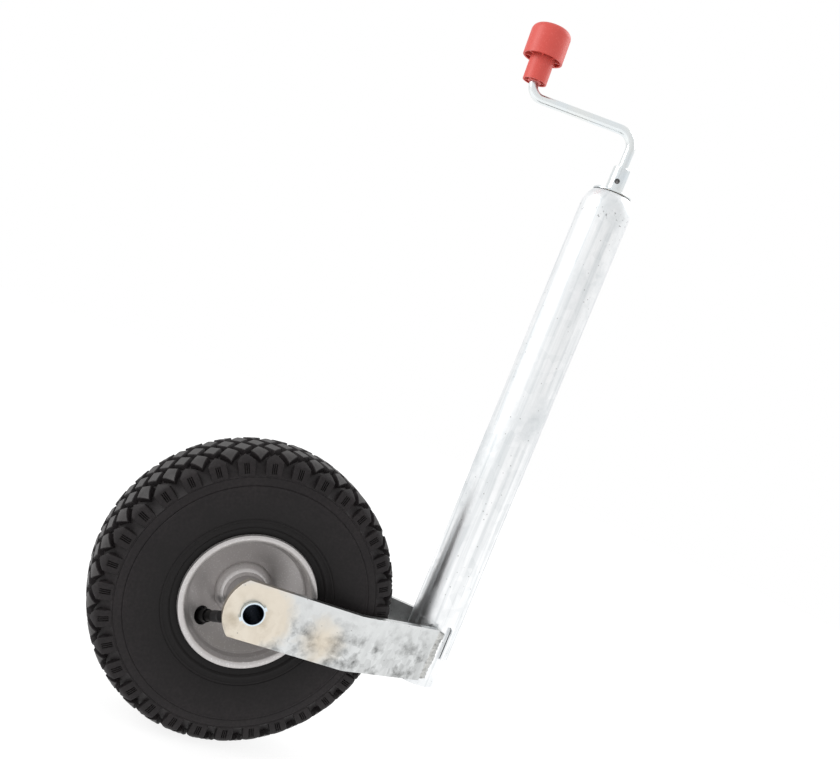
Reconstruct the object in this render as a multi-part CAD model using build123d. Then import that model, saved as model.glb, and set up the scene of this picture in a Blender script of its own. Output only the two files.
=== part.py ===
"""Trailer jockey wheel: a screw jack with a crank on top and a pneumatic castor wheel on a fork.

Millimetres. The tube axis is +Z. The origin is on that axis, half way up the plain stretch that a
clamp grips. The wheel trails towards -X with its axle along Y. Rest is fully wound in, with the fork
arms nested in the notches of the outer tube.
"""
from build123d import *
from math import asin, atan2, cos, degrees, radians, sin, sqrt, tan
import os

# ---- fits and gaps --------------------------------------------------------------------------
running_gap = 0.05       # radial gap of a shaft that turns in a bush or nut
press_gap = 0.02         # radial gap of pieces that are pressed together
loose_gap = 0.3          # gap between curved faces that move past each other
weld_gap = 0.1           # radial gap of a piece slipped in before welding or staking
end_float = 0.5          # axial play of the wheel between its washers
cut_past = 1.0           # how far a cutting shape runs past the face that it cuts

# ---- outer tube -----------------------------------------------------------------------------
outer_tube_od = 48.0
outer_tube_wall = 3.0
outer_tube_length = 455.0
rolled_height = 17.0     # the top end is rolled inwards over this height
roll_depth = 6.0         # how far inwards the rolled end comes
notch_height = 33.0      # notches in the lower end that the fork arms nest in
notch_corner_r = 6.0
notch_margin = 2.2       # gap from the notch's edge to the arm
notch_weld_gap = 6.6     # gap from the weld's toe to the notch's other edge
sized_end_depth = 0.25   # the notched end is drawn in by this much

# ---- inner tube and stroke ------------------------------------------------------------------
inner_tube_wall = 2.5
tube_slide_gap = 0.5     # radial gap between the two tubes
inner_tube_below = 28.0  # how far the inner tube stands out of the outer tube at rest
stroke = 210.0

# ---- spindle, bearing and nut ---------------------------------------------------------------
spindle_d = 16.0
spindle_above_tube = 27.0    # plain top end of the spindle above the outer tube
spindle_tail = 10.0          # spindle left below the stop pin
spindle_chamfer = 1.2
rod_socket_depth = 42.0
rod_foot_gap = 1.0
slit_width = 0.8
crank_pin_d = 5.0
crank_pin_wall = 1.0
crank_pin_inset = 0.5        # each end of the pin below the spindle's surface
crank_pin_below_top = 14.5
stop_pin_d = 5.0
stop_pin_gap = 1.0           # gap between nut and stop pin when fully wound out
stop_pin_end_gap = 3.0       # gap from each end of the stop pin to the inner tube
cap_disc_overhang = 0.2      # disc past the rolled mouth
cap_disc_thickness = 2.0
cap_disc_gap = 1.0
cap_disc_chamfer = 0.8
housing_below_roll = 18.0
bush_wall = 2.0
race_thickness = 2.5
race_margin = 2.0            # ring left each side of the ball track
ball_d = 5.0
ball_count = 12
cage_thickness = 2.6
cage_margin = 0.8            # cage left each side of the ball pockets
thrust_collar_height = 10.0
thrust_collar_pin_d = 4.0
thrust_collar_pin_inset = 1.0
nut_clearance = 3.0          # gap between thrust collar and nut at rest
nut_flange_height = 6.0
nut_body_height = 24.0

# ---- crank and knob -------------------------------------------------------------------------
crank_rod_d = 9.0
crank_throw = 105.0
crank_arm_above_spindle = 32.5
crank_lower_bend_r = 16.0
crank_upper_bend_r = 13.0
crank_rest_angle = 154.0     # direction of the crank arm about the tube axis, from +X
knob_tilt = 2.5              # the knob's axis leans outwards by this many degrees
knob_above_arm = 13.0        # from the arm's centre line to the knob's lower end
knob_neck_r = 11.5
knob_neck_height = 22.0
knob_neck_wall = 1.3
knob_neck_ribs = 6
knob_neck_pocket = 18.0
knob_cap_r = 19.0
knob_cap_height = 30.0
knob_cap_wall = 1.8
knob_cap_ribs = 8
knob_cap_pocket = 21.0
knob_top_fillet = 7.0
knob_rib = 1.3
knob_core_wall = 2.0
clip_width = 2.3
clip_thickness = 1.0
clip_below_rod_end = 3.0
rod_in_knob = 42.0

# ---- fork and axle --------------------------------------------------------------------------
axle_reach = 184.0           # tube axis to wheel axle
axle_above_tube_end = 8.0    # axle above the lower end of the outer tube
arm_width = 50.0
arm_thickness = 6.0
arm_inside_gap = 104.0       # between the two arms at the axle
arm_bend_from_axle = 92.0
arm_bend_inner_r = 14.0
arm_landing_angle = 19.4     # where an arm's inner corner lands on the inner tube, from the Y axis
arm_tip_reach = 24.0
arm_tip_r = 33.0
arm_droop = 1.5              # degrees that the arms fall from the axle towards the tube
weld_length = 46.0
weld_toe_angle = 9.0         # where the bead ends on the inner tube, past the Y axis
weld_bulge = 0.8
axle_d = 20.0
axle_wall = 1.6
axle_proud = 4.0             # axle tube left outside each arm
stake_angle = 38.0           # direction of the two staked lugs, from +X
stake_size = 3.4
stake_proud = 1.8
washer_thickness = 1.5
washer_r = 16.0

# ---- rim ------------------------------------------------------------------------------------
hub_r = 17.0
hub_bore_gap = 1.0           # radial gap from the axle to the hub's plain bore
hub_bush_length = 25.0
hub_bush_wall = 2.5
hub_step = (19.0, 14.5)      # radius and height of the ring at the hub's foot
hub_step_height = 17.2
hub_step_bulge = (0.9, 0.8)  # how far the foot's face swells, outwards and along the axle
dish_inner = (25.5, 7.0)     # cone of the dish, from here
dish_outer = (48.5, 23.7)    # to here
dish_thickness = 4.0
barrel_foot = (49.6, 25.2)
barrel_top = (50.6, 31.0)
lip_inner = (52.9, 35.4)
lip_crest = (55.6, 36.6)
lip_outer = (58.2, 36.0)
flange_r = 59.0
flange_edge_height = 33.8
flange_thickness = 2.0
bead_seat_r = 53.0
well_r = 31.0

# ---- tyre and valve -------------------------------------------------------------------------
tyre_od = 260.0
tyre_width = 82.0
widest_below_crown = 33.0    # where the tyre is widest, below the crown
sidewall_swell = 1.9         # the sidewall's middle, in from the widest point
shoulder_low = (17.0, 2.4)   # points of the shoulder: below the crown, in from the widest point
shoulder_edge = (8.0, 6.5)
shoulder_high = (3.0, 11.6)
tread_edge = (0.8, 17.0)
crown_drop = 0.2             # the crown's fall a quarter of the way across
sidewall_thickness = 5.0
tread_thickness = 11.0
bead_toe_rise = (6.0, 4.5)   # from the bead's toe to the lining, outwards and along the axle
lining_corner = (17.0, 5.5)  # the lining's corner: below the crown, in from the sidewall's inside
lining_swell = (2.6, 1.3, 0.9)  # how far the lining bows at sidewall, shoulder and crown
flange_side_gap = (0.8, 0.6)    # the tyre's side past the rim's flange
tyre_seat_gap = 0.15
bead_width = 8.5
air_tube_gap = 0.4
air_tube_wall = 1.8
valve_angle = 223.0          # direction of the valve from the axle, from +X towards +Z
valve_hole_r = 8.0
valve_at_r = 40.0
valve_foot_r = 5.6
valve_foot_height = 8.0
valve_stem_r = 4.6
valve_stem_height = 16.0
valve_tip_r = 3.9
valve_tip_height = 23.0
valve_cap_r = 4.9
valve_cap_gap = 0.4
valve_cap_crown = 2.0
valve_cap_fillet = 1.0
valve_root_depth = 8.8       # rubber that runs back through the dish to the air tube
valve_core_r = 2.4

# ---- worked out from the sizes above --------------------------------------------------------
outer_r = outer_tube_od / 2
outer_bore_r = outer_r - outer_tube_wall
inner_r = outer_bore_r - tube_slide_gap
inner_bore_r = inner_r - inner_tube_wall
rolled_mouth_r = outer_r - roll_depth
notch_far_x = inner_r * sin(radians(weld_toe_angle)) + notch_weld_gap
spindle_r = spindle_d / 2
clamp_length = outer_tube_length - notch_height - rolled_height
notch_top = -clamp_length / 2
tube_bottom = notch_top - notch_height
tube_top = tube_bottom + outer_tube_length
cap_disc_r = rolled_mouth_r + cap_disc_overhang
roll_start = tube_top - rolled_height

housing_bottom = roll_start - housing_below_roll
race_upper_bottom = housing_bottom - race_thickness
ball_centre = race_upper_bottom - loose_gap - ball_d / 2
race_lower_top = ball_centre - ball_d / 2
thrust_collar_top = race_lower_top - race_thickness
thrust_collar_bottom = thrust_collar_top - thrust_collar_height
race_bore_r = spindle_r + loose_gap
ball_track_r = race_bore_r + race_margin + ball_d / 2
thrust_r = ball_track_r + ball_d / 2 + race_margin
inner_tube_top = thrust_collar_bottom - nut_clearance - nut_flange_height
inner_tube_bottom = tube_bottom - inner_tube_below
nut_bottom = inner_tube_top - nut_body_height
stop_pin_z = nut_bottom - stroke - stop_pin_gap - stop_pin_d / 2
spindle_bottom = stop_pin_z - spindle_tail
spindle_top = tube_top + spindle_above_tube
crank_pin_z = spindle_top - crank_pin_below_top
crank_arm_z = spindle_top + crank_arm_above_spindle

axle_z = tube_bottom + axle_above_tube_end
axle_point = (-axle_reach, 0, axle_z)
arm_inner_y = arm_inside_gap / 2
axle_r = axle_d / 2
axle_half_length = arm_inner_y + arm_thickness + axle_proud
arm_hole_r = axle_r + weld_gap
hub_half_width = arm_inner_y - washer_thickness - end_float
hub_bore_r = axle_r + hub_bore_gap
tyre_r = tyre_od / 2
tyre_half_width = tyre_width / 2
sidewall_r = tyre_r - widest_below_crown


# ---- helpers --------------------------------------------------------------------------------
def rod(radius, low, high):
    """A cylinder about Z from one height to another."""
    return Pos(0, 0, low) * Cylinder(radius, high - low, align=(Align.CENTER, Align.CENTER, Align.MIN))


def ring(outer, bore, low, high):
    """A plain ring about Z."""
    return rod(outer, low, high) - rod(bore, low - cut_past, high + cut_past)


def turned(outline):
    """A closed outline of edges in the XZ plane, turned about Z."""
    return revolve(make_face(outline), Axis.Z)


def run(*points):
    """Straight edges through (radius, height) points."""
    return Polyline(*[(r, 0, z) for r, z in points])


def bow(start, middle, end):
    """An arc through three (radius, height) points."""
    return ThreePointArc(*[(r, 0, z) for r, z in (start, middle, end)])


def solid(shape):
    """The single solid of a shape that cutting may have left in a list."""
    return shape.solids().sort_by(SortBy.VOLUME)[-1]


def about_axle(shape):
    """From the wheel's own frame, spin axis +Z, to its place, where that axis is -Y."""
    return Pos(*axle_point) * Rot(90, 0, 0) * shape


def drooped(shape):
    """The fork's slight fall, turned about the axle."""
    there = Pos(*axle_point)
    return there * Rot(0, arm_droop, 0) * there.inverse() * shape


def to_crank(shape):
    """From a frame whose +X is the crank arm to the crank's rest direction."""
    return Rot(0, 0, crank_rest_angle) * shape


def to_knob(shape):
    """From the knob's own frame, base at the origin and axis +Z, to its place on the crank."""
    bend = Pos(crank_throw, 0, crank_arm_z) * Rot(0, knob_tilt, 0)
    return to_crank(bend * Pos(0, 0, knob_above_arm) * shape)


def pair(shape):
    """A piece and its mirror image on the other side of the XZ plane."""
    return shape, mirror(shape, about=Plane.XZ)


def cross_pin(radius, length):
    """A pin along X, centred on the origin."""
    return Rot(0, 90, 0) * Cylinder(radius, length)


# ---- column: outer tube and bearing housing -------------------------------------------------
def roll_arc(radius):
    """Start, middle and end of the rolled end's arc, for a wall of this radius."""
    drop = outer_r - rolled_mouth_r
    sweep = 2 * atan2(drop, rolled_height)
    centre = outer_r - rolled_height / sin(sweep)
    big = radius - centre
    return [(centre + big * cos(a), roll_start + big * sin(a)) for a in (0, sweep / 2, sweep)]


def notch():
    """The two notches as one bar through the tube, rounded at its upper corners."""
    corner_x = arm_entry_x() - notch_margin
    width = notch_far_x - corner_x
    height = notch_height + outer_tube_wall
    outline = Pos((notch_far_x + corner_x) / 2, notch_height - height / 2) * Rectangle(width, height)
    top = outline.vertices().group_by(Axis.Y)[-1]
    outline = fillet(top, min(notch_corner_r, width / 2 - 0.1))
    bar = extrude(Plane.XZ * outline, amount=outer_tube_od, both=True)
    return Pos(0, 0, tube_bottom) * bar


def arm_entry_x():
    """Where an arm's inner face crosses the outside of the outer tube."""
    corner, direction = arm_landing()
    along = corner[0] * direction[0] + corner[1] * direction[1]
    off = corner[0] * direction[1] - corner[1] * direction[0]
    reach = -along - sqrt(outer_r ** 2 - off ** 2)
    return corner[0] + direction[0] * reach


def outer_tube():
    outer = roll_arc(outer_r)
    bore = roll_arc(outer_bore_r)
    sized_r = outer_r - sized_end_depth
    foot = [(outer_bore_r, tube_bottom), (sized_r, tube_bottom), (sized_r, notch_top - sized_end_depth)]
    outline = [run(bore[0], *foot, (outer_r, notch_top), outer[0])]
    outline += [bow(*outer), run(outer[-1], bore[-1]), bow(*reversed(bore))]
    return solid(turned(outline) - notch())


def bearing_housing():
    seat = roll_arc(outer_bore_r - weld_gap)
    bore = spindle_r + running_gap + bush_wall
    foot = [(seat[0][0], housing_bottom), (bore, housing_bottom)]
    outline = [run(seat[0], *foot, (bore, seat[-1][1]), seat[-1])]
    outline += [bow(*reversed(seat))]
    return turned(outline)


def housing_bush():
    top = roll_arc(outer_bore_r - weld_gap)[-1][1]
    bore = spindle_r + running_gap
    return ring(bore + bush_wall - press_gap, bore, housing_bottom, top)


def thrust_race(low):
    return ring(thrust_r, race_bore_r, low, low + race_thickness)


# ---- crank: spindle, bearing, crank rod -----------------------------------------------------
def spindle():
    body = rod(spindle_r, spindle_bottom, spindle_top)
    body = chamfer(body.edges().filter_by(GeomType.CIRCLE), spindle_chamfer)
    body -= rod(crank_rod_d / 2 + press_gap, spindle_top - rod_socket_depth, spindle_top + cut_past)
    cross = Pos(0, 0, crank_pin_z) * Rot(0, 0, 90) * cross_pin(crank_pin_d / 2, spindle_d * 2)
    slit_height = crank_pin_below_top + cut_past
    slit = Pos(0, spindle_r, crank_pin_z + slit_height / 2) * Box(slit_width, spindle_d, slit_height)
    body -= to_crank(cross + slit)
    body -= Pos(0, 0, stop_pin_z) * cross_pin(stop_pin_d / 2, spindle_d * 2)
    body -= Pos(0, 0, thrust_collar_mid()) * cross_pin(thrust_collar_pin_d / 2, spindle_d * 2)
    return solid(body)


def thrust_collar_mid():
    return (thrust_collar_top + thrust_collar_bottom) / 2


def thrust_collar():
    body = ring(thrust_r, spindle_r + press_gap, thrust_collar_bottom, thrust_collar_top)
    return solid(body - Pos(0, 0, thrust_collar_mid()) * cross_pin(thrust_collar_pin_d / 2, thrust_r * 3))


def thrust_collar_pin():
    length = (thrust_r - thrust_collar_pin_inset) * 2
    return Pos(0, 0, thrust_collar_mid()) * cross_pin(thrust_collar_pin_d / 2 - press_gap, length)


def spindle_stop_pin():
    length = (inner_bore_r - stop_pin_end_gap) * 2
    return Pos(0, 0, stop_pin_z) * cross_pin(stop_pin_d / 2 - press_gap, length)


def ball_spots():
    return PolarLocations(ball_track_r, ball_count)


def ball_cage():
    reach = ball_d / 2 + cage_margin
    body = ring(ball_track_r + reach, ball_track_r - reach, -cage_thickness / 2, cage_thickness / 2)
    for spot in ball_spots():
        body -= spot * Cylinder(ball_d / 2 + weld_gap, cage_thickness * 2)
    return Pos(0, 0, ball_centre) * solid(body)


def thrust_balls():
    return Compound([Pos(0, 0, ball_centre) * spot * Sphere(ball_d / 2) for spot in ball_spots()])


def cap_disc():
    low = tube_top + cap_disc_gap
    body = ring(cap_disc_r, spindle_r + press_gap, low, low + cap_disc_thickness)
    rim = body.edges().filter_by(GeomType.CIRCLE).sort_by(Axis.Z)[-2:].sort_by(SortBy.RADIUS)[-1]
    return chamfer(rim, cap_disc_chamfer)


def crank_rod():
    foot = spindle_top - rod_socket_depth + rod_foot_gap
    rise = knob_above_arm + rod_in_knob
    tip_x = crank_throw + rise * sin(radians(knob_tilt))
    tip_z = crank_arm_z + rise * cos(radians(knob_tilt))
    corners = [(0, 0, foot), (0, 0, crank_arm_z), (crank_throw, 0, crank_arm_z), (tip_x, 0, tip_z)]
    path = FilletPolyline(*corners, radius=[crank_lower_bend_r, crank_upper_bend_r])
    body = sweep(Plane(path @ 0, z_dir=path % 0) * Circle(crank_rod_d / 2), path)
    cross = Pos(0, 0, crank_pin_z) * Rot(0, 0, 90) * cross_pin(crank_pin_d / 2, spindle_d)
    return to_crank(solid(body - cross))


def crank_pin():
    """A hollow spring pin through spindle and rod, square to the crank arm."""
    length = spindle_d - crank_pin_inset * 2
    pin = Cylinder(crank_pin_d / 2 - press_gap, length)
    pin -= Cylinder(crank_pin_d / 2 - crank_pin_wall, length * 2)
    return to_crank(Pos(0, 0, crank_pin_z) * Rot(90, 0, 0) * pin)


def clip_height():
    return rod_in_knob - clip_below_rod_end


def knob_clip():
    low = clip_height()
    bore = crank_rod_d / 2 + press_gap
    return to_knob(ring(bore + clip_width, bore, low, low + clip_thickness))


# ---- knob -----------------------------------------------------------------------------------
def rib_pocket(outer, inner, low, high, ribs):
    """A ring-shaped hollow crossed by radial ribs."""
    hollow = ring(outer, inner, low, high)
    for turn in range(ribs):
        rib = Box(outer * 2, knob_rib, (high - low) * 3, align=(Align.MIN, Align.CENTER, Align.CENTER))
        hollow -= Rot(0, 0, 360 / ribs * turn) * Pos(0, 0, low) * rib
    return hollow


def crank_knob():
    rod_bore = crank_rod_d / 2 + running_gap
    height = knob_neck_height + knob_cap_height
    body = rod(knob_neck_r, 0, knob_neck_height + knob_cap_wall)
    cap = rod(knob_cap_r, knob_neck_height, height)
    top = cap.edges().filter_by(GeomType.CIRCLE).sort_by(Axis.Z)[-1]
    body += fillet(top, min(knob_top_fillet, knob_cap_r / 2))
    pocket_top = knob_neck_height + knob_cap_pocket
    mouth = knob_neck_height - cut_past
    body -= rib_pocket(knob_cap_r - knob_cap_wall, knob_neck_r, mouth, pocket_top, knob_cap_ribs)
    core = rod_bore + knob_core_wall
    body -= rib_pocket(knob_neck_r - knob_neck_wall, core, -cut_past, knob_neck_pocket, knob_neck_ribs)
    body -= rod(rod_bore, -cut_past, rod_in_knob + end_float)
    clip_r = crank_rod_d / 2 + clip_width + end_float
    body -= rod(clip_r, clip_height() - end_float, clip_height() + clip_thickness + end_float)
    return to_knob(solid(body))


# ---- leg: inner tube, nut, fork, axle -------------------------------------------------------
def inner_tube():
    return ring(inner_r, inner_bore_r, inner_tube_bottom, inner_tube_top)


def spindle_nut():
    bore = spindle_r + running_gap
    body = rod(inner_bore_r - press_gap, nut_bottom, inner_tube_top)
    body += rod(inner_r, inner_tube_top, inner_tube_top + nut_flange_height)
    return body - rod(bore, nut_bottom - cut_past, thrust_collar_bottom)


def arm_landing():
    """An arm's inner corner on the inner tube in plan, and the direction of its sloping stretch."""
    angle = radians(arm_landing_angle)
    corner = (-inner_r * sin(angle), -inner_r * cos(angle))
    bend_x = -axle_reach + arm_bend_from_axle
    slope = atan2(corner[1] + arm_inner_y, corner[0] - bend_x)
    return corner, (cos(slope), sin(slope))


def arm_plan():
    """The bent bar seen from above, on the -Y side."""
    corner, direction = arm_landing()
    slope = asin(direction[1])
    bend_x = -axle_reach + arm_bend_from_axle
    tip_x = -axle_reach - arm_tip_reach
    outer_y = arm_inner_y + arm_thickness
    bend_outer_x = bend_x + arm_thickness * tan(slope / 2)
    end_outer = (corner[0] + arm_thickness * sin(slope), corner[1] - arm_thickness * cos(slope))
    points = [(tip_x, -arm_inner_y), (bend_x, -arm_inner_y), corner, end_outer]
    points += [(bend_outer_x, -outer_y), (tip_x, -outer_y)]
    plan = make_face(Polyline(*points, close=True))
    for x, y, radius in (
        (bend_x, -arm_inner_y, arm_bend_inner_r),
        (bend_outer_x, -outer_y, arm_bend_inner_r + arm_thickness),
    ):
        near = plan.vertices().sort_by_distance((x, y, 0))[0]
        plan = fillet(near, radius)
    return plan


def fork_arm():
    bar = extrude(arm_plan(), amount=arm_width / 2, both=True)
    tip_centre = -axle_reach - arm_tip_reach + arm_tip_r
    side = Pos(tip_centre, 0, 0) * Rot(90, 0, 0) * Cylinder(arm_tip_r, arm_inside_gap * 2)
    length = axle_reach * 2
    side += Pos(tip_centre + length / 2, 0, 0) * Box(length, arm_inside_gap * 2, arm_width * 2)
    bar = bar & side
    bar -= Pos(-axle_reach, 0, 0) * Rot(90, 0, 0) * Cylinder(arm_hole_r, arm_inside_gap * 2)
    bar = drooped(Pos(0, 0, axle_z) * bar)
    return solid(bar - rod(inner_r, inner_tube_bottom - arm_width, inner_tube_top))


def weld_bead(arm):
    """The fillet of weld between an arm's square end and the inner tube."""
    corner, direction = arm_landing()
    outer = (corner[0] + arm_thickness * direction[1], corner[1] - arm_thickness * direction[0])
    toe_angle = radians(weld_toe_angle)
    toe = (inner_r * sin(toe_angle), -inner_r * cos(toe_angle))
    middle = ((outer[0] + toe[0]) / 2, (outer[1] + toe[1]) / 2 - weld_bulge)
    root = (0, -inner_r + arm_thickness / 2)
    edges = [ThreePointArc(outer, middle, toe), Polyline(toe, root, corner, outer)]
    bead = extrude(make_face(edges), amount=weld_length / 2, both=True)
    bead = drooped(Pos(0, 0, axle_z) * bead)
    return solid(bead - rod(inner_r, inner_tube_bottom - arm_width, inner_tube_top) - arm)


def axle_tube():
    """A plain tube through both arms, its ends staked outwards at two spots."""
    body = Cylinder(axle_r, axle_half_length * 2)
    for end in (-1, 1):
        for turn in (stake_angle, stake_angle + 180):
            height = end * (axle_half_length - axle_proud + stake_size / 2)
            lug = Pos(axle_r, 0, height) * Box(stake_proud * 2, stake_size, stake_size)
            body += Rot(0, 0, turn) * lug
    body -= Cylinder(axle_r - axle_wall, axle_half_length * 3)
    return about_axle(solid(body))


def axle_washers():
    low = hub_half_width + end_float
    washer = ring(washer_r, arm_hole_r, low, low + washer_thickness)
    return Compound([about_axle(washer), about_axle(mirror(washer, about=Plane.XY))])


# ---- wheel: rim, bushes, tyre, air tube, valve ----------------------------------------------
def dish_normal():
    """Unit normal of the dish's outer face, (radial, axial), pointing out of the wheel."""
    dr = dish_outer[0] - dish_inner[0]
    dz = dish_outer[1] - dish_inner[1]
    size = sqrt(dr * dr + dz * dz)
    return -dz / size, dr / size


def rim_tyre_side():
    """The channel that holds the tyre: points from the well out to the bead seat's outer end."""
    nr, nz = dish_normal()
    start = (dish_inner[0] - nr * dish_thickness, dish_inner[1] - nz * dish_thickness)
    rise = -nr / nz
    well = (well_r, start[1] + (well_r - start[0]) * rise)
    seat = (bead_seat_r, start[1] + (bead_seat_r - start[0]) * rise)
    return [(well_r, 0), well, seat, (bead_seat_r, flange_edge_height - flange_thickness)]


def valve_frame():
    """Places a piece whose +Z leaves the dish squarely and whose origin is on the dish's face."""
    nr, nz = dish_normal()
    rise = (valve_at_r - dish_inner[0]) * (-nr / nz)
    tilt = degrees(atan2(nr, nz))
    return Rot(0, 0, valve_angle) * Pos(valve_at_r, 0, dish_inner[1] + rise) * Rot(0, tilt, 0)


def rim_half():
    bush_seat = hub_bore_r + hub_bush_wall
    bush_end = hub_half_width - hub_bush_length
    face = [(hub_bore_r, 0), (hub_bore_r, bush_end), (bush_seat, bush_end), (bush_seat, hub_half_width)]
    face += [(hub_r, hub_half_width), (hub_r, hub_step_height), hub_step]
    bulge = [(a + b) / 2 + swell for a, b, swell in zip(hub_step, dish_inner, hub_step_bulge)]
    outline = [run(*face), bow(hub_step, bulge, dish_inner)]
    outline += [run(dish_inner, dish_outer, barrel_foot, barrel_top, lip_inner)]
    outline += [bow(lip_inner, lip_crest, lip_outer)]
    tyre_side = rim_tyre_side()
    back = [lip_outer, (flange_r, flange_edge_height), *reversed(tyre_side), (hub_bore_r, 0)]
    outline += [run(*back)]
    return turned(outline)


def rim_near_half():
    hole = valve_frame() * Cylinder(valve_hole_r, dish_thickness * 8)
    return about_axle(solid(rim_half() - hole))


def rim_far_half():
    return about_axle(mirror(rim_half(), about=Plane.XY))


def hub_bush():
    bore = axle_r + running_gap
    outer = hub_bore_r + hub_bush_wall - press_gap
    return ring(outer, bore, hub_half_width - hub_bush_length, hub_half_width)


def tyre_bore():
    """Inside of the tyre, from bead toe to crown, as (radius, height) points."""
    side = tyre_half_width - sidewall_thickness
    toe = (bead_seat_r + tyre_seat_gap, bead_outer_face() - bead_width)
    lip = (toe[0] + bead_toe_rise[0], toe[1] + bead_toe_rise[1])
    corner = (tyre_r - lining_corner[0], side - lining_corner[1])
    return [toe, lip, (sidewall_r, side), corner, (tyre_r - tread_thickness, 0)]


def bead_outer_face():
    return flange_edge_height - flange_thickness - tyre_seat_gap


def on_shoulder(point):
    """A point given below the crown and in from the widest place, as (radius, height)."""
    return tyre_r - point[0], tyre_half_width - point[1]


def tyre_outside():
    """Edges from the bead's toe over the sidewall to the crown."""
    toe = tyre_bore()[0]
    flange_side = (flange_r + flange_side_gap[0], flange_edge_height - flange_side_gap[1])
    widest = (sidewall_r, tyre_half_width)
    middle = ((flange_side[0] + sidewall_r) / 2, tyre_half_width - sidewall_swell)
    edges = [run(toe, (toe[0], bead_outer_face()), flange_side)]
    edges += [bow(flange_side, middle, widest)]
    edges += [bow(widest, on_shoulder(shoulder_low), on_shoulder(shoulder_edge))]
    edges += [bow(on_shoulder(shoulder_edge), on_shoulder(shoulder_high), on_shoulder(tread_edge))]
    edges += [bow(on_shoulder(tread_edge), (tyre_r - crown_drop, tyre_half_width / 4), (tyre_r, 0))]
    return edges


def tyre_inside():
    """Edges from the bead's toe along the lining to the crown."""
    toe, lip, widest, corner, crown = tyre_bore()
    at_sidewall, at_shoulder, at_crown = lining_swell
    edges = [run(toe, lip), bow(lip, ((lip[0] + widest[0]) / 2, widest[1] - at_sidewall), widest)]
    edges += [bow(widest, ((widest[0] + corner[0]) / 2, widest[1] - at_shoulder), corner)]
    edges += [bow(corner, (crown[0] - at_crown, tyre_half_width / 2), crown)]
    return edges


def tyre():
    """Beads, sidewalls and tread as one casing, in its outer shape over the blocks."""
    closing = [run((tyre_r, 0), (tyre_r - tread_thickness, 0))]
    side = turned(tyre_outside() + tyre_inside() + closing)
    return about_axle(solid(side + mirror(side, about=Plane.XY)))


def air_space():
    """Face of the space between rim channel and tyre, one side of the wheel's middle."""
    bore = tyre_bore()
    channel = rim_tyre_side()[:3]
    points = [*channel, (bead_seat_r, bore[0][1]), *bore, (well_r, 0)]
    half = make_face(run(*points))
    return half + mirror(half, about=Plane.XY)


def air_tube():
    outer = offset(air_space(), -air_tube_gap)
    inner = offset(air_space(), -air_tube_gap - air_tube_wall)
    body = revolve(outer, Axis.Z) - revolve(inner, Axis.Z)
    return about_axle(solid(body))


def valve_stem(tube):
    """The rubber stem that grows out of the air tube through the dish."""
    body = rod(valve_foot_r, -valve_root_depth, valve_foot_height)
    body += rod(valve_stem_r, 0, valve_stem_height)
    body += rod(valve_tip_r, 0, valve_tip_height)
    body -= rod(valve_core_r + press_gap, -valve_root_depth - cut_past, valve_tip_height + cut_past)
    return solid(about_axle(valve_frame() * body) - tube)


def valve_core():
    return about_axle(valve_frame() * rod(valve_core_r, 0, valve_tip_height - 2))


def valve_cap():
    top = valve_tip_height + valve_cap_gap + valve_cap_crown
    body = rod(valve_cap_r, valve_stem_height + valve_cap_gap, top)
    crown = body.edges().filter_by(GeomType.CIRCLE).sort_by(Axis.Z)[-1]
    body = fillet(crown, valve_cap_fillet)
    body -= rod(valve_tip_r + valve_cap_gap, 0, valve_tip_height + valve_cap_gap)
    return about_axle(valve_frame() * body)


# ---- the pieces -----------------------------------------------------------------------------
arm_right, arm_left = pair(fork_arm())
bead_right, bead_left = pair(weld_bead(arm_right))
inflated = air_tube()
bush = hub_bush()

pieces = {
    "outer_tube": outer_tube(),
    "bearing_housing": bearing_housing(),
    "housing_bush": housing_bush(),
    "thrust_race_upper": thrust_race(race_upper_bottom),
    "thrust_race_lower": thrust_race(thrust_collar_top),
    "ball_cage": ball_cage(),
    "thrust_balls": thrust_balls(),
    "thrust_collar": thrust_collar(),
    "thrust_collar_pin": thrust_collar_pin(),
    "spindle": spindle(),
    "spindle_stop_pin": spindle_stop_pin(),
    "cap_disc": cap_disc(),
    "crank_rod": crank_rod(),
    "crank_pin": crank_pin(),
    "knob_clip": knob_clip(),
    "crank_knob": crank_knob(),
    "inner_tube": inner_tube(),
    "spindle_nut": spindle_nut(),
    "fork_arm_right": arm_right,
    "fork_arm_left": arm_left,
    "weld_bead_right": bead_right,
    "weld_bead_left": bead_left,
    "axle_tube": axle_tube(),
    "axle_washers": axle_washers(),
    "rim_right_half": rim_near_half(),
    "rim_left_half": rim_far_half(),
    "hub_bush_right": about_axle(bush),
    "hub_bush_left": about_axle(mirror(bush, about=Plane.XY)),
    "tyre": tyre(),
    "air_tube": inflated,
    "valve_stem": valve_stem(inflated),
    "valve_core": valve_core(),
    "valve_cap": valve_cap(),
}

os.makedirs("parts", exist_ok=True)
for name, shape in pieces.items():
    export_step(shape, f"parts/{name}.step")
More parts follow.
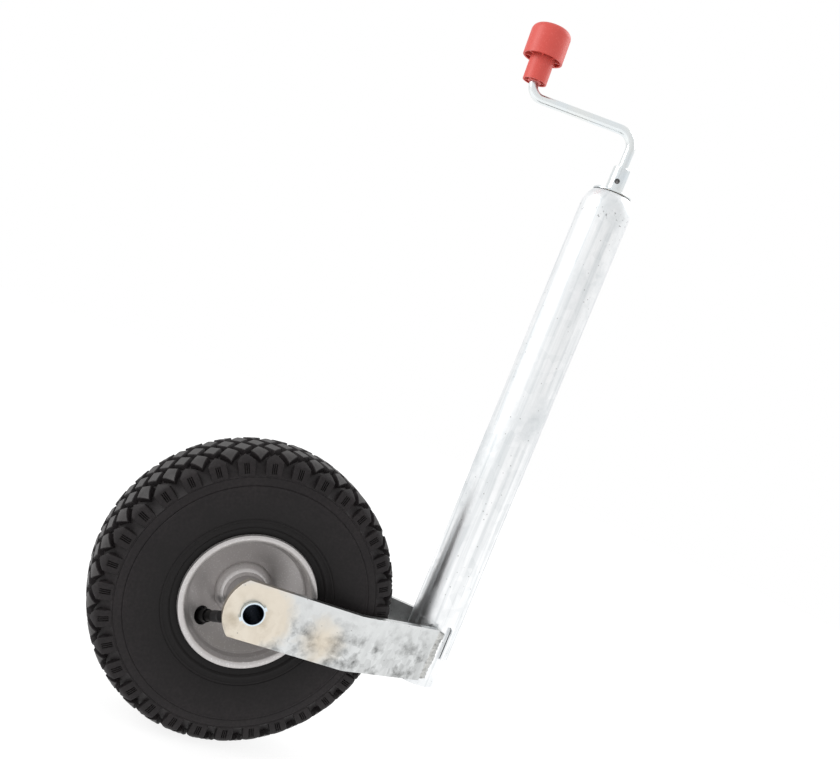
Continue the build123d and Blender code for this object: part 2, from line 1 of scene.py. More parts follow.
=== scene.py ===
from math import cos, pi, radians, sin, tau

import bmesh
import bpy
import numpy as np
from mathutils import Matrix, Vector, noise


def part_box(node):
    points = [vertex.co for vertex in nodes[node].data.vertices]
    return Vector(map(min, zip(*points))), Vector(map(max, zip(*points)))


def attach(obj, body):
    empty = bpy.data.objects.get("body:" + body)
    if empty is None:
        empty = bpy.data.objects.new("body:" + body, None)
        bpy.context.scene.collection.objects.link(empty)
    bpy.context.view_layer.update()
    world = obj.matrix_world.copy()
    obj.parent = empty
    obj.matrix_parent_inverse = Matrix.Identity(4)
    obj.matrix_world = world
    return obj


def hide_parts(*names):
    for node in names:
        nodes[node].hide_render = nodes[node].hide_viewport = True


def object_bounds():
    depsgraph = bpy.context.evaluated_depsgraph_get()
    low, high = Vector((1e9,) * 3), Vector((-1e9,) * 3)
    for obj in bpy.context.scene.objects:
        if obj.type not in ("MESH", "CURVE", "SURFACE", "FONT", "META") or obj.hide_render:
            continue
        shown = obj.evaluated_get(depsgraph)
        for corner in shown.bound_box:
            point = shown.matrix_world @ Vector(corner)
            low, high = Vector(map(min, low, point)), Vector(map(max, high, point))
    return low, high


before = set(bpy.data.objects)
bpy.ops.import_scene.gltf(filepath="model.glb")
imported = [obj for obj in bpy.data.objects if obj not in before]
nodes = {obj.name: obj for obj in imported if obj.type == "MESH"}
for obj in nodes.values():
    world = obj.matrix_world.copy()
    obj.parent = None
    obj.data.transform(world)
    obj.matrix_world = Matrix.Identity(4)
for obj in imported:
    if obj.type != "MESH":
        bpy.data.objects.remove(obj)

# %% [markdown]
# # Trailer jockey wheel
# A screw jack carries the nose of a trailer: a crank turns a screw inside two steel tubes, and a
# castor wheel with an air-filled tyre hangs on a fork below. The working model is already loaded,
# each part in its place and in metres. These cells give every part its finish and rebuild the
# parts whose surface is made of small shapes: the tyre with its tread, the fork and the welds.

MM = 0.001
size_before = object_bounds()
print("nodes:", len(nodes))

# %% [markdown]
# ## The camera
# It stands a little below the crank, beside the wheel, and is rolled so that the leg leans. A
# camera's matrix holds its right, up and backward directions as columns.

# %% Camera
camera_right = Vector((0.8749807, -0.3025335, 0.3779978))
camera_up = Vector((-0.3438744, 0.1612671, 0.9250639))
camera_back = Vector((-0.3408214, -0.9393969, 0.0370721))
camera_place = Vector((-0.4050, -0.8268, 0.0305))

camera_data = bpy.data.cameras.new("camera")
camera_data.lens = 42.33
camera_data.sensor_width = 36.0
camera = bpy.data.objects.new("camera", camera_data)
bpy.context.scene.collection.objects.link(camera)
turn = Matrix((camera_right, camera_up, camera_back)).transposed()
camera.matrix_world = Matrix.Translation(camera_place) @ turn.to_4x4()
bpy.context.scene.camera = camera
print("camera at", tuple(round(v, 3) for v in camera_place))

# %% [markdown]
# ## Colour and nodes
# Colours are picked as screen values, and a shader works with linear light, so one function
# converts them. Another adds a shader node: its settings are the node's own properties, and its
# inputs are plain values or another node's output.

# %% Colour and node helpers
def colour(hex_code):
    """An sRGB hex value as linear red, green, blue and alpha."""
    channels = [int(hex_code[i : i + 2], 16) / 255 for i in (1, 3, 5)]
    linear = [c / 12.92 if c <= 0.04045 else ((c + 0.055) / 1.055) ** 2.4 for c in channels]
    return (*linear, 1.0)


def add(tree, kind, inputs=None, **settings):
    """Adds a node. An input is a value, or (node, output) to link."""
    node = tree.nodes.new("ShaderNode" + kind)
    for name, value in settings.items():
        setattr(node, name, value)
    for name, value in (inputs or {}).items():
        if isinstance(value, tuple) and isinstance(value[0], bpy.types.Node):
            tree.links.new(node.inputs[name], value[0].outputs[value[1]])
        else:
            node.inputs[name].default_value = value
    return node


def material_tree(name):
    """A new material with an empty node tree."""
    material = bpy.data.materials.new(name)
    material.use_nodes = True
    material.node_tree.nodes.clear()
    return material, material.node_tree


def per(millimetres):
    """The scale of a texture whose features are this large, on coordinates in metres."""
    return 1000 / millimetres


print("white is", colour("#FFFFFF")[:3])

# %% [markdown]
# ## Stage and light
# Zinc is a mirror, so what stands round it matters more than the lamps. A pale floor and a pale
# surround give the tube its even brightness. One side of a real studio is an unlit room, and its
# reflection gives flat zinc its grey and rubber its depth, so the surround is dimmer that way.
# What the camera sees directly stays white. The floor is an opal light table, lit from below, so
# no horizon shows and the shadow is faint. Two large soft lamps shape the rest. The view
# transform is Standard, so that white stays white.

# %% Stage and light
bpy.context.scene.view_settings.view_transform = "Standard"

world = bpy.data.worlds.new("studio")
bpy.context.scene.world = world
world.use_nodes = True
tree = world.node_tree
surround = tree.nodes["Background"]
surround.inputs["Color"].default_value = colour("#FFFFFF")
room_direction = (0.34, -0.93, 0.12)
way = add(tree, "TexCoord")
towards_room = add(tree, "VectorMath", {0: (way, "Generated"), 1: room_direction},
                   operation="DOT_PRODUCT")
room = add(tree, "MapRange", {"Value": (towards_room, 1), "From Min": 0.68, "From Max": 0.99,
                              "To Min": 0.95, "To Max": 0.84}, interpolation_type="SMOOTHSTEP")
seen = add(tree, "LightPath")
strength = add(tree, "Mix", {0: (seen, "Is Camera Ray"), 2: (room, 0), 3: 1.0})
tree.links.new(surround.inputs["Strength"], strength.outputs[0])

floor_material, tree = material_tree("opal_light_table")
paper = add(tree, "TexNoise", {"Scale": per(400), "Detail": 2.0})
tone = add(tree, "Mix", {0: (paper, 0), 6: colour("#7C7C7C"), 7: colour("#848484")}, data_type="RGBA")
shader = add(tree, "BsdfPrincipled", {"Base Color": (tone, 2), "Roughness": 0.9,
                                      "Emission Color": colour("#FFFFFF"), "Emission Strength": 0.85})
add(tree, "OutputMaterial", {"Surface": (shader, 0)})

floor_radius = 3.0
floor_gap = 0.0005
floor_mesh = bpy.data.meshes.new("floor")
build = bmesh.new()
bmesh.ops.create_circle(build, cap_ends=True, segments=96, radius=floor_radius)
bmesh.ops.translate(build, verts=build.verts, vec=(0, 0, size_before[0][2] - floor_gap))
build.to_mesh(floor_mesh)
build.free()
floor_mesh.materials.append(floor_material)
floor = bpy.data.objects.new("floor", floor_mesh)
bpy.context.scene.collection.objects.link(floor)


def soft_lamp(name, place, width, watts):
    """A round lamp at a place given as right, up and back from the object, aimed at it."""
    target = Vector((-0.1, 0, -0.05))
    data = bpy.data.lights.new(name, "AREA")
    data.shape = "DISK"
    data.size = width
    data.energy = watts
    lamp = bpy.data.objects.new(name, data)
    offset = camera_right * place[0] + camera_up * place[1] + camera_back * place[2]
    lamp.location = target + offset
    lamp.rotation_euler = offset.to_track_quat("Z", "Y").to_euler()
    bpy.context.scene.collection.objects.link(lamp)


soft_lamp("key_lamp", (-1.2, 1.3, 0.5), 0.9, 12)
soft_lamp("edge_lamp", (1.4, 0.8, -0.7), 1.0, 10)
print("lamps: 2")

# %% [markdown]
# ## Hot-dip galvanised steel
# The tubes and the fork are mild steel dipped in molten zinc. The zinc freezes in crystals a few
# millimetres across, each turned its own way, so neighbours differ a little in brightness and
# gloss. Air and handling dull it in cloudy patches. The tube was drawn through a die before
# dipping and still shows faint lines along it. The bar dulls most in its lower half and keeps a
# cream tint in a few spots, and the rolled end of the tube shows small dark crimp marks. Crystals,
# clouds, lines and pits are each a texture in real millimetres.

# %% Galvanised steel
raggedness = 15 * MM
line_squash = 0.03


def galvanised(name, bright, dull, crystal, streak, drawn, patch, warm_spots=(), darker_below=None,
               crimped=None):
    """Zinc on steel. The crystal, streak and patch sizes are in millimetres, and drawn is the
    strength of the lines along Z. A warm spot is x, z, a full radius and a fading radius, the
    heights for darkening below are where the darkening starts and is full, and crimped is a height
    and half the width of its band, all in metres."""
    material, tree = material_tree(name)
    place = add(tree, "TexCoord")
    crystals = add(tree, "TexVoronoi", {"Vector": (place, "Object"), "Scale": per(crystal)})
    clouds = add(tree, "TexNoise", {"Vector": (place, "Object"), "Scale": per(patch),
                                    "Detail": 5.0, "Roughness": 0.6})
    stretched = add(tree, "Mapping", {"Vector": (place, "Object"), "Scale": (1, 1, line_squash)})
    lines = add(tree, "TexNoise", {"Vector": (stretched, 0), "Scale": per(streak), "Detail": 3.0})
    grit = add(tree, "TexNoise", {"Vector": (place, "Object"), "Scale": per(1.4), "Detail": 4.0})
    cloud_tone = add(tree, "MapRange", {"Value": (clouds, 0), "From Min": 0.46, "From Max": 0.72})
    line_tone = add(tree, "MapRange", {"Value": (lines, 0), "From Min": 0.4, "From Max": 0.7,
                                       "To Max": drawn})
    worn = add(tree, "Math", {0: (cloud_tone, 0), 1: (line_tone, 0)}, operation="MAXIMUM")
    crystal_tone = add(tree, "MapRange", {"Value": (crystals, 1), "To Min": -0.12, "To Max": 0.2})
    tone = add(tree, "Math", {0: (worn, 0), 1: (crystal_tone, 0)}, operation="ADD", use_clamp=True)
    # The tone goes darker and rougher towards the bottom, between the two given heights.
    if darker_below:
        height = add(tree, "SeparateXYZ", {0: (place, "Object")})
        low = add(tree, "MapRange", {"Value": (height, 2), "From Min": darker_below[0],
                                     "From Max": darker_below[1], "To Min": 0.15, "To Max": 1.0})
        tone = add(tree, "Math", {0: (tone, 0), 1: (low, 0)}, operation="MULTIPLY")
    base = add(tree, "Mix", {0: (tone, 0), 6: colour(bright), 7: colour(dull)}, data_type="RGBA")
    flat = add(tree, "Mapping", {"Vector": (place, "Object"), "Scale": (1, 0, 1)})
    for x, z, inner, outer in warm_spots:
        away = add(tree, "VectorMath", {0: (flat, 0), 1: (x, 0, z)}, operation="DISTANCE")
        ragged = add(tree, "Math", {0: (clouds, 0), 1: 2 * raggedness, 2: (away, 1)},
                     operation="MULTIPLY_ADD")
        warmth = add(tree, "MapRange", {"Value": (ragged, 0), "From Min": inner + raggedness,
                                        "From Max": outer + raggedness, "To Min": 0.7, "To Max": 0.0})
        base = add(tree, "Mix", {0: (warmth, 0), 6: (base, 2), 7: colour("#DDD0BB")}, data_type="RGBA")
    pits = add(tree, "TexVoronoi", {"Vector": (place, "Object"), "Scale": per(7)})
    pitted = add(tree, "MapRange", {"Value": (pits, 0), "From Min": 0.05, "From Max": 0.11,
                                    "To Min": 0.55, "To Max": 0.0})
    base = add(tree, "Mix", {0: (pitted, 0), 6: (base, 2), 7: colour("#6F6F6B")}, data_type="RGBA")
    if crimped:
        height = add(tree, "SeparateXYZ", {0: (place, "Object")})
        in_band = add(tree, "Math", {0: (height, 2), 1: crimped[0], 2: crimped[1]}, operation="COMPARE")
        dents = add(tree, "TexNoise", {"Vector": (place, "Object"), "Scale": per(3), "Detail": 3.0})
        dark = add(tree, "MapRange", {"Value": (dents, 0), "From Min": 0.6, "From Max": 0.68,
                                      "To Max": 0.6})
        crimps = add(tree, "Math", {0: (dark, 0), 1: (in_band, 0)}, operation="MULTIPLY")
        base = add(tree, "Mix", {0: (crimps, 0), 6: (base, 2), 7: colour("#4A4A4A")}, data_type="RGBA")
    gloss = add(tree, "MapRange", {"Value": (tone, 0), "To Min": 0.3, "To Max": 0.55})
    relief = add(tree, "Math", {0: (grit, 0), 1: (clouds, 0)}, operation="ADD")
    bump = add(tree, "Bump", {"Height": (relief, 0), "Strength": 0.25, "Distance": 0.0004})
    shader = add(tree, "BsdfPrincipled", {"Base Color": (base, 2), "Roughness": (gloss, 0),
                                          "Metallic": 1.0, "Normal": (bump, 0)})
    add(tree, "OutputMaterial", {"Surface": (shader, 0)})
    return material


axle_x, axle_z = -0.184, -0.2275
warm_end = (axle_x, axle_z, 0.026, 0.040)
warm_patch = (axle_x + 0.066, axle_z - 0.008, 0.006, 0.024)
bar_darkening = (axle_z + 0.022, axle_z - 0.006)
roll_marks = (0.198, 0.005)
galvanised_tube = galvanised("hot_dip_galvanised_tube", "#FAFBFC", "#D6DADC", crystal=9, streak=5,
                             drawn=0.9, patch=60, crimped=roll_marks)
galvanised_bar = galvanised("hot_dip_galvanised_bar", "#D6D8D8", "#6E6F6E", crystal=6, streak=9,
                            drawn=0.25, patch=16, warm_spots=(warm_end, warm_patch),
                            darker_below=bar_darkening)
weld_zinc = galvanised("galvanised_weld", "#D2D2CF", "#8C8D8C", crystal=3, streak=3, drawn=0.4,
                       patch=8)
print("galvanised finishes: 3")

# %% [markdown]
# ## Bright zinc plating
# The crank, the spindle and the axle are plated from a bath: a thin, even, bluish coat with no
# crystals. Fine polishing marks and a slight tint of the clear passivation are all that shows.

# %% Zinc plating
def plated(name, cool, warm, rough_low, rough_high, bore_shade_radius=None):
    """Smooth electroplate with a faint drifting tint, and within a radius of the axle a dark blue-grey:
    painted shade inside the bore.
    """
    material, tree = material_tree(name)
    place = add(tree, "TexCoord")
    drift = add(tree, "TexNoise", {"Vector": (place, "Object"), "Scale": per(18), "Detail": 2.0})
    marks = add(tree, "TexNoise", {"Vector": (place, "Object"), "Scale": per(0.9), "Detail": 3.0})
    base = add(tree, "Mix", {0: (drift, 0), 6: colour(cool), 7: colour(warm)}, data_type="RGBA")
    # Painted shade: within the given radius of the axle the colour turns dark blue-grey, for the shade
    # inside the bore.
    if bore_shade_radius:
        flat = add(tree, "Mapping", {"Vector": (place, "Object"), "Scale": (1, 0, 1)})
        away = add(tree, "VectorMath", {0: (flat, 0), 1: (axle_x, 0, axle_z)}, operation="DISTANCE")
        painted_bore_shade = add(tree, "Math", {0: (away, 1), 1: bore_shade_radius}, operation="LESS_THAN")
        base = add(tree, "Mix", {0: (painted_bore_shade, 0), 6: (base, 2), 7: colour("#3C4A5C")}, data_type="RGBA")
    gloss = add(tree, "MapRange", {"Value": (marks, 0), "To Min": rough_low, "To Max": rough_high})
    bump = add(tree, "Bump", {"Height": (marks, 0), "Strength": 0.08, "Distance": 0.0002})
    shader = add(tree, "BsdfPrincipled", {"Base Color": (base, 2), "Roughness": (gloss, 0),
                                          "Metallic": 1.0, "Normal": (bump, 0)})
    add(tree, "OutputMaterial", {"Surface": (shader, 0)})
    return material


zinc_plate = plated("bright_zinc_plate", "#DCE6EE", "#E9E8E2", 0.14, 0.3)
# The radius round the axle that is painted dark blue-grey as shade inside the bore.
bore_shade_r = 8.8 * MM
plate_with_bore_shade = plated("zinc_plate_with_painted_bore_shade", "#CFDFEA", "#DDE3E6", 0.16, 0.32, bore_shade_r)
turned_steel = plated("turned_steel", "#B4B6B9", "#C2C0BA", 0.25, 0.4)
ground_steel = plated("ground_bearing_steel", "#D2D4D8", "#DAD9D5", 0.06, 0.14)
spring_steel = plated("blackened_spring_steel", "#56575B", "#66635E", 0.3, 0.45)
bearing_bronze = plated("bearing_bronze", "#B98A55", "#C89A60", 0.25, 0.4)
turned_brass = plated("turned_brass", "#D8B765", "#E0C47C", 0.2, 0.35)

# %% [markdown]
# ## Mouldings
# The rim halves are polypropylene with a metal-flake pigment, the knob is plain red
# polypropylene and the bushes are natural nylon. A moulding has a fine spark-eroded grain, a
# slight change of gloss, and no edges sharper than the mould. Flakes are far under a millimetre,
# so they are drawn 0.9 mm wide to show at all.

# %% Mouldings
flake_size = 0.9


def moulded(name, base_hex, shade_hex, flake_hex, flake_share, roughness, grain, metal=0.0):
    """Grained plastic with drifting shade and, where flake_share is above 0, metal flakes."""
    material, tree = material_tree(name)
    place = add(tree, "TexCoord")
    drift = add(tree, "TexNoise", {"Vector": (place, "Object"), "Scale": per(30), "Detail": 3.0})
    flakes = add(tree, "TexVoronoi", {"Vector": (place, "Object"), "Scale": per(flake_size)})
    grains = add(tree, "TexNoise", {"Vector": (place, "Object"), "Scale": per(grain), "Detail": 2.0})
    base = add(tree, "Mix", {0: (drift, 0), 6: colour(base_hex), 7: colour(shade_hex)},
               data_type="RGBA")
    share = add(tree, "Math", {0: (flakes, 1), 1: flake_share}, operation="LESS_THAN")
    speckled = add(tree, "Mix", {0: (share, 0), 6: (base, 2), 7: colour(flake_hex)},
                   data_type="RGBA")
    gloss = add(tree, "MapRange", {"Value": (drift, 0), "To Min": roughness - 0.05,
                                   "To Max": roughness + 0.08})
    bump = add(tree, "Bump", {"Height": (grains, 0), "Strength": 0.12, "Distance": 0.0003})
    shader = add(tree, "BsdfPrincipled", {"Base Color": (speckled, 2), "Roughness": (gloss, 0),
                                          "IOR": 1.49, "Metallic": metal, "Normal": (bump, 0)})
    add(tree, "OutputMaterial", {"Surface": (shader, 0)})
    return material


rim_plastic = moulded("metallic_grey_polypropylene", "#BFBBBA", "#C6C3C2", "#D2D0CF", 0.2, 0.3, 0.9, 0.7)
knob_plastic = moulded("red_polypropylene", "#C5463D", "#CB4E45", "#CE544B", 0.2, 0.46, 0.8)
nylon = moulded("natural_nylon", "#E6E1D2", "#DDD7C6", "#EFEBDF", 0.2, 0.45, 1.2)
black_plastic = moulded("black_nylon", "#131213", "#191819", "#232223", 0.2, 0.4, 0.9)

# %% [markdown]
# ## Rubber
# Tyre rubber is nearly black with a brownish cast, and its mould leaves it satin. It carries a
# little pale bloom and dust, and it is painted darker towards the bead as painted shade where the
# tyre meets the rim. The tops of the tread blocks get a paler copy of the rubber, a painted
# highlight for the light they catch.

# %% Rubber
def rubber(name, dark, dusty, roughness, sheen, bead_shade_radii=None):
    """Moulded rubber with patches of bloom. Between two radii, the last argument, it darkens to
    near black towards the bead: painted shade where the tyre meets the rim."""
    material, tree = material_tree(name)
    place = add(tree, "TexCoord")
    bloom = add(tree, "TexNoise", {"Vector": (place, "Object"), "Scale": per(38), "Detail": 6.0,
                                   "Roughness": 0.62})
    dust = add(tree, "TexNoise", {"Vector": (place, "Object"), "Scale": per(2.2), "Detail": 2.0})
    dusted = add(tree, "Math", {0: (bloom, 0), 1: (dust, 0)}, operation="MULTIPLY")
    amount = add(tree, "MapRange", {"Value": (dusted, 0), "From Min": 0.16, "From Max": 0.42})
    base = add(tree, "Mix", {0: (amount, 0), 6: colour(dark), 7: colour(dusty)}, data_type="RGBA")
    # Painted shade: towards the bead, where the tyre meets the rim, the rubber is painted near black.
    if bead_shade_radii:
        flat = add(tree, "Mapping", {"Vector": (place, "Object"), "Scale": (1, 0, 1)})
        away = add(tree, "VectorMath", {0: (flat, 0), 1: (axle_x, 0, axle_z)}, operation="DISTANCE")
        painted_bead_shade = add(tree, "MapRange", {"Value": (away, 1), "From Min": bead_shade_radii[0],
                                       "From Max": bead_shade_radii[1], "To Min": 0.8, "To Max": 0.0})
        base = add(tree, "Mix", {0: (painted_bead_shade, 0), 6: (base, 2), 7: colour("#0E0D0D")}, data_type="RGBA")
    gloss = add(tree, "MapRange", {"Value": (bloom, 0), "To Min": roughness - 0.1,
                                   "To Max": roughness + 0.1})
    bump = add(tree, "Bump", {"Height": (dust, 0), "Strength": 0.06, "Distance": 0.0004})
    shader = add(tree, "BsdfPrincipled", {"Base Color": (base, 2), "Roughness": (gloss, 0),
                                          "IOR": 1.52, "Specular IOR Level": sheen,
                                          "Normal": (bump, 0)})
    add(tree, "OutputMaterial", {"Surface": (shader, 0)})
    return material


# The radii, in metres, over which the sidewall is painted darker towards the bead as painted shade.
bead_shade_span = (0.062, 0.104)
tyre_rubber = rubber("moulded_tyre_rubber", "#1A1718", "#262223", 0.55, 0.2, bead_shade_span)
# A paler copy of the tyre rubber for the block tops: a painted highlight for the light they catch.
painted_highlight_rubber = rubber("tread_top_painted_highlight", "#292727", "#353232", 0.5, 0.3)
butyl_rubber = rubber("butyl_rubber", "#1A191A", "#242324", 0.55, 0.3)
valve_rubber = rubber("valve_rubber", "#050505", "#0B0B0B", 0.4, 0.2)

# %% [markdown]
# ## Finishes on the working parts
# A part whose shape is already right keeps its mesh, and only its material is changed.

# %% Finishes on the working parts
finishes = {
    galvanised_tube: ["outer_tube", "inner_tube"],
    zinc_plate: ["spindle", "cap_disc", "crank_rod", "axle_washers"],
    plate_with_bore_shade: ["axle_tube"],
    turned_steel: ["bearing_housing", "thrust_collar", "spindle_nut"],
    ground_steel: ["thrust_race_upper", "thrust_race_lower", "thrust_balls"],
    spring_steel: ["thrust_collar_pin", "spindle_stop_pin", "crank_pin", "knob_clip"],
    bearing_bronze: ["housing_bush"],
    turned_brass: ["ball_cage", "valve_core"],
    rim_plastic: ["rim_right_half", "rim_left_half"],
    nylon: ["hub_bush_right", "hub_bush_left"],
    knob_plastic: ["crank_knob"],
    black_plastic: ["valve_cap"],
    butyl_rubber: ["air_tube"],
    valve_rubber: ["valve_stem"],
}
for material, names in finishes.items():
    for name in names:
        nodes[name].data.materials.clear()
        nodes[name].data.materials.append(material)
print("working parts finished:", sum(len(names) for names in finishes.values()))

# %% [markdown]
# ## From a bmesh to a piece
# Every rebuilt part ends the same way: faces turned outwards, the mesh shaded smooth with sharp
# edges kept, and the piece riding on the body that it belongs to.

# %% Making a piece
def piece(name, build, materials, body, node, sharp=35):
    """Turns a finished bmesh into an object that stands for a working part."""
    bmesh.ops.recalc_face_normals(build, faces=build.faces)
    mesh = bpy.data.meshes.new(name)
    build.to_mesh(mesh)
    build.free()
    for material in materials:
        mesh.materials.append(material)
    mesh.shade_smooth()
    mesh.set_sharp_from_angle(angle=radians(sharp))
    made = bpy.data.objects.new(name, mesh)
    bpy.context.scene.collection.objects.link(made)
    even = made.modifiers.new("even_shading", "WEIGHTED_NORMAL")
    even.keep_sharp = True
    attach(made, body)
    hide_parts(node)
    print(name, "faces:", len(mesh.polygons))
    return made


# %% [markdown]
# ## The tyre's line
# A tyre is a ring, so one line across it gives most of its shape. The points below are radius
# and distance from the middle in millimetres, from the crown to the bead. A smooth curve through
# them is cut into short steps, and the length along it is what the tread is laid out on.

# %% The tyre's line
tyre_r = 129.9
outer_points = [(tyre_r, 0), (129.65, 12), (129.1, 22), (127.0, 29.4), (122.0, 34.5),
                (113.0, 38.6), (97.0, 41.0), (78.4, 39.1), (59.8, 33.2)]


def smooth_line(points, steps=24):
    """Points close together on a smooth curve through the given ones."""
    points = np.array(points, float)
    chain = np.vstack([points[1:2] * (1, -1), points, 2 * points[-1:] - points[-2:-1]])
    line = []
    for a, b, c, d in zip(chain, chain[1:], chain[2:], chain[3:]):
        for t in np.arange(steps) / steps:
            line.append(0.5 * (2 * b + (c - a) * t + (2 * a - 5 * b + 4 * c - d) * t * t
                               + (3 * b - a - 3 * c + d) * t ** 3))
    return np.array([*line, points[-1]])


outer_line = smooth_line(outer_points)
steps_along = np.linalg.norm(np.diff(outer_line, axis=0), axis=1)
along = np.concatenate([[0], np.cumsum(steps_along)])
tangent = np.gradient(outer_line, along, axis=0)


def on_line(across):
    """Radius and width at a distance along the line from the crown, and the outward direction."""
    side = -1 if across < 0 else 1
    r, y = (np.interp(abs(across), along, outer_line[:, i]) for i in (0, 1))
    dr, dy = (np.interp(abs(across), along, tangent[:, i]) for i in (0, 1))
    return Vector((r, side * y)), Vector((dy, -side * dr)).normalized()


def across_at(radius):
    """How far along the line the tyre has come down to a radius."""
    return float(np.interp(-radius, -outer_line[:, 0], along))


print("crown to bead along the line:", round(along[-1], 1), "mm")

# %% [markdown]
# ## The casing
# The casing is the tyre without its blocks: the outer line, sunk by the depth of the grooves under
# the tread and level with it on the sidewall, then the beads and the lining inside. It is drawn
# once as a chain of vertices and spun round the axle. A ring on the sidewall is a radius, a lift
# (negative for a groove) and a half-width in millimetres.

# %% The casing
wheel_axis = sum((Vector(c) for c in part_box("axle_tube")), Vector()) / 2
groove_depth = 5.0
lug_foot = across_at(110.0)
groove_full = across_at(125.5)
sidewall_rings = [(109.2, -0.5, 0.4), (102.2, -0.6, 0.4), (101.0, 0.4, 0.9), (72.5, -0.5, 0.4),
                  (71.4, 0.4, 0.8), (66.5, 0.6, 0.9), (64.2, -0.5, 0.5)]
lining = [(53.15, 31.6), (53.15, 23.2), (59.2, 27.6), (78.0, 33.4), (97.0, 36.0), (113.0, 30.5),
          (118.1, 20.0), (119.0, 0.0)]
tread_stations, side_stations = 22, 130
casing_steps = 192


def sunk(across):
    """Depth of the casing's surface below the outer line."""
    share = np.clip((across - lug_foot) / (groove_full - lug_foot), 0, 1)
    depth = groove_depth * (1 - (1 - share) ** 3)
    radius = on_line(across)[0][0]
    rings = sum(lift * np.exp(-((radius - at) / wide) ** 2) for at, lift, wide in sidewall_rings)
    return depth - rings


def casing():
    """Half the section, mirrored to the whole, spun round the axle."""
    build = bmesh.new()
    tread = np.linspace(0, lug_foot, tread_stations)
    stations = np.unique(np.concatenate([tread, np.linspace(lug_foot, along[-1], side_stations)]))
    half = [point - normal * sunk(a) for a in stations for point, normal in [on_line(a)]]
    half += [Vector(p) for p in lining]
    whole = half + [Vector((r, -y)) for r, y in reversed(half) if y > 0.01]
    verts = [build.verts.new((r * MM, y * MM, 0)) for r, y in whole]
    for a, b in zip(verts, verts[1:] + verts[:1]):
        build.edges.new((a, b))
    bmesh.ops.spin(build, geom=build.verts[:] + build.edges[:], cent=(0, 0, 0), axis=(0, 1, 0),
                   angle=tau, steps=casing_steps, use_merge=True)
    return build


print("groove depth:", groove_depth, "mm")


# %% [markdown]
# ## Tread blocks
# Each block starts flat, as a small grid laid out on the unrolled tread: x runs round the tyre, y
# across it and z is height below the outer line. The grid is raised to a block with leaning walls
# and broken edges, then wrapped on to the tyre and repeated once for each pitch.

# %% Tread blocks
pitches = 32
pitch = tau * tyre_r / pitches
lug_corner_r = 121.8
sipe_depth = 1.6


def wrap(verts, x, y):
    """Moves flat vertices to their place on the tyre, x millimetres round and y across."""
    for v in verts:
        point, normal = on_line(v.co.y + y)
        r, width = point + normal * v.co.z
        turn = (v.co.x + x) / tyre_r
        v.co = Vector((r * cos(turn), width, r * sin(turn))) * MM


def raise_block(build, faces, height, lean):
    """Extrudes a flat patch downwards to a closed block and widens its foot."""
    grown = bmesh.ops.extrude_face_region(build, geom=faces)["geom"]
    foot = [v for v in grown if isinstance(v, bmesh.types.BMVert)]
    middle = sum((v.co for v in foot), Vector()) / len(foot)
    for v in foot:
        out = (v.co - middle).normalized() if (v.co - middle).length > 0.01 else Vector()
        v.co += out * lean
        v.co.z -= height
    bmesh.ops.recalc_face_normals(build, faces=build.faces)


def break_edges(build, amount):
    """A small bevel round the top of a block."""
    rim = [e for e in build.edges if len(e.link_faces) == 2
           and sorted(abs(f.normal.z) > 0.8 for f in e.link_faces) == [False, True]
           and all(v.co.z > -1 for v in e.verts)]
    bmesh.ops.bevel(build, geom=rim, offset=amount, segments=1, affect="EDGES", profile=0.5,
                    material=-1)


def diamond():
    """One diamond block, 15 mm round the tyre and 22 mm across it."""
    build = bmesh.new()
    corners = Matrix.Diagonal((7.4, 11.0, 1, 1)) @ Matrix.Rotation(pi / 4, 4, "Z")
    bmesh.ops.create_grid(build, x_segments=3, y_segments=3, size=0.5 ** 0.5, matrix=corners)
    raise_block(build, build.faces[:], height=groove_depth + 1, lean=1.5)
    build.normal_update()
    break_edges(build, 0.45)
    return build


def lug():
    """One shoulder lug: a pointed top that carries on the tread, a corner, and a side face with
    three sipes."""
    build = bmesh.new()
    columns = [-6.3, -2.2, -1.4, -0.4, 0.4, 1.4, 2.2, 6.3]
    rows = [across_at(r) for r in (127.2, 124.8, lug_corner_r, 120.0, 117.5, 115, 112.4, 110.0)]
    bmesh.ops.create_grid(build, x_segments=7, y_segments=7, size=3.5)
    stand_out = [0, 0.6, 1.8, 1.5, 1.1, 0.7, 0.3, 0]
    half_widths = [0.0, 4.2, 7.6, 7.6, 7.7, 7.7, 7.8, 7.8]
    centres = {f: f.calc_center_median() for f in build.faces}
    sipe_faces = [f for f, c in centres.items()
                  if int(c.x + 3.5) in (1, 3, 5) and int(c.y + 3.5) in (3, 4, 5)]
    for v in build.verts:
        i, j = round(v.co.x + 3.5), round(v.co.y + 3.5)
        edge_or_point = i in (0, 7) or j < 2
        v.co.x = columns[i] * half_widths[j] / columns[-1] if edge_or_point else columns[i]
        v.co.y = rows[j]
        v.co.z = stand_out[j]
    bmesh.ops.remove_doubles(build, verts=build.verts, dist=0.001)
    floor_of_sipes = bmesh.ops.extrude_face_region(build, geom=sipe_faces)["geom"]
    bmesh.ops.delete(build, geom=sipe_faces, context="FACES_ONLY")
    bmesh.ops.translate(build, vec=(0, 0, -sipe_depth),
                        verts=[v for v in floor_of_sipes if isinstance(v, bmesh.types.BMVert)])
    raise_block(build, build.faces[:], height=4.5, lean=0.8)
    build.normal_update()
    break_edges(build, 0.4)
    return build


blocks = bmesh.new()
print("pitch:", round(pitch, 2), "mm")

# %% [markdown]
# ## Laying out the tread
# The mould cuts the same group of blocks over and over: five diamonds in staggered rows, and one
# lug on each shoulder. One group is wrapped on and copied round, so all the pitches are alike.

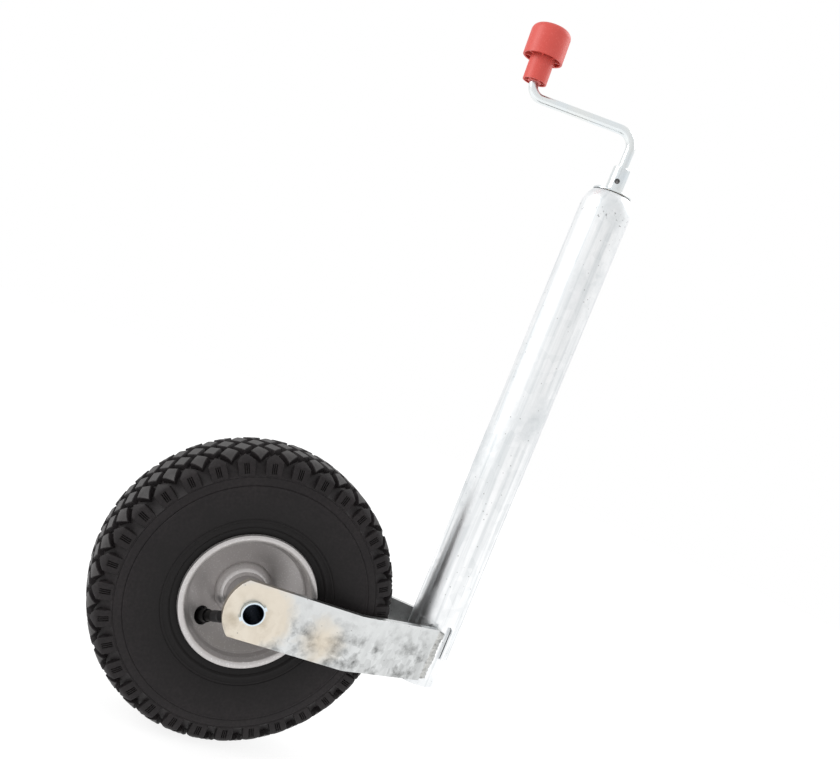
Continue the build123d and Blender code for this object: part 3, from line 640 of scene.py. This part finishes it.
# %% Laying out the tread
def lay(shape, places, highlight_to):
    """Wraps a block at each place of one pitch and repeats it round the tyre. Tops nearer the
    crown than the last argument, along the line, get the paler rubber as a painted highlight."""
    for x, y, flip in places:
        single = shape()
        if flip:
            bmesh.ops.scale(single, vec=(1, -1, 1), verts=single.verts)
        for f in single.faces:
            centre = f.calc_center_median()
            on_top = f.normal.z > 0.8 and centre.z > -0.1
            # Tops near the crown take the paler rubber, a painted highlight.
            f.material_index = 1 if on_top and abs(centre.y) < highlight_to else 0
        wrap(single.verts, x, y)
        mesh = bpy.data.meshes.new("one_block")
        single.to_mesh(mesh)
        single.free()
        known = len(blocks.verts)
        blocks.from_mesh(mesh)
        bpy.data.meshes.remove(mesh)
        blocks.verts.ensure_lookup_table()
        new = blocks.verts[known:]
        new_edges = {e for v in new for e in v.link_edges}
        new_faces = {f for v in new for f in v.link_faces}
        bmesh.ops.spin(blocks, geom=[*new, *new_edges, *new_faces], cent=(0, 0, 0), axis=(0, 1, 0),
                       angle=tau * (pitches - 1) / pitches, steps=pitches - 1, use_duplicate=True)


inner_row, outer_row = 12.5, 25.2
lay(diamond, [(0, inner_row, False), (0, -inner_row, False), (pitch / 2, 0, False),
              (pitch / 2, outer_row, False), (pitch / 2, -outer_row, False)], tyre_r)
lay(lug, [(0, 0, False), (0, 0, True)], across_at(lug_corner_r))

tyre_build = casing()
mesh = bpy.data.meshes.new("tread")
blocks.to_mesh(mesh)
blocks.free()
tyre_build.from_mesh(mesh)
bpy.data.meshes.remove(mesh)
bmesh.ops.translate(tyre_build, verts=tyre_build.verts, vec=wheel_axis)
piece("tyre_with_tread", tyre_build, [tyre_rubber, painted_highlight_rubber], "wheel", "tyre")

# %% [markdown]
# ## Fork arms
# The arms are sawn from flat bar and bent, and the zinc rounds their edges. A copy of the working
# part is merged into one skin, its flat faces are made whole, and its edges get a small round.

# %% Fork arms
def softened(name, node, width, body, material):
    """A copy of a working part with rounded edges."""
    build = bmesh.new()
    build.from_mesh(nodes[node].data)
    bmesh.ops.remove_doubles(build, verts=build.verts, dist=0.00001)
    bmesh.ops.dissolve_limit(build, angle_limit=radians(1), verts=build.verts, edges=build.edges)
    corners = [e for e in build.edges if len(e.link_faces) == 2 and e.calc_face_angle(0) > radians(35)]
    bmesh.ops.bevel(build, geom=corners, offset=width * MM, segments=3, affect="EDGES", profile=0.5,
                    material=-1, clamp_overlap=True)
    return piece(name, build, [material], body, node)


arm_round = 0.8
softened("galvanised_arm_right", "fork_arm_right", arm_round, "leg", galvanised_bar)
softened("galvanised_arm_left", "fork_arm_left", arm_round, "leg", galvanised_bar)

# %% [markdown]
# ## Weld beads
# A hand-laid weld is a row of overlapping scales. The plain wedge of the working part is remeshed
# into even small faces, and each vertex moves out or in with the scales and some unevenness.

# %% Weld beads
ripple_height, ripple_pitch = 0.28, 3.6
lump_height, lumps_per_metre = 0.91, 190


def weld(name, node):
    """A lumpy bead in the place of a plain one."""
    rough = nodes[node].copy()
    rough.data = nodes[node].data.copy()
    bpy.context.scene.collection.objects.link(rough)
    merge = bmesh.new()
    merge.from_mesh(rough.data)
    bmesh.ops.remove_doubles(merge, verts=merge.verts, dist=0.00001)
    merge.to_mesh(rough.data)
    merge.free()
    even = rough.modifiers.new("even", "REMESH")
    even.mode = "VOXEL"
    even.voxel_size = 0.7 * MM
    seen = rough.evaluated_get(bpy.context.evaluated_depsgraph_get())
    build = bmesh.new()
    build.from_mesh(seen.to_mesh())
    bpy.data.objects.remove(rough)
    bmesh.ops.smooth_vert(build, verts=build.verts, factor=0.5, use_axis_x=True, use_axis_y=True,
                          use_axis_z=True)
    for v in build.verts:
        ripple = ripple_height * sin(v.co.z / MM * tau / ripple_pitch)
        lump = lump_height * noise.noise(v.co * lumps_per_metre)
        v.co += v.normal * (ripple + lump) * MM
    return piece(name, build, [weld_zinc], "leg", node, 80)


weld("weld_right", "weld_bead_right")
weld("weld_left", "weld_bead_left")
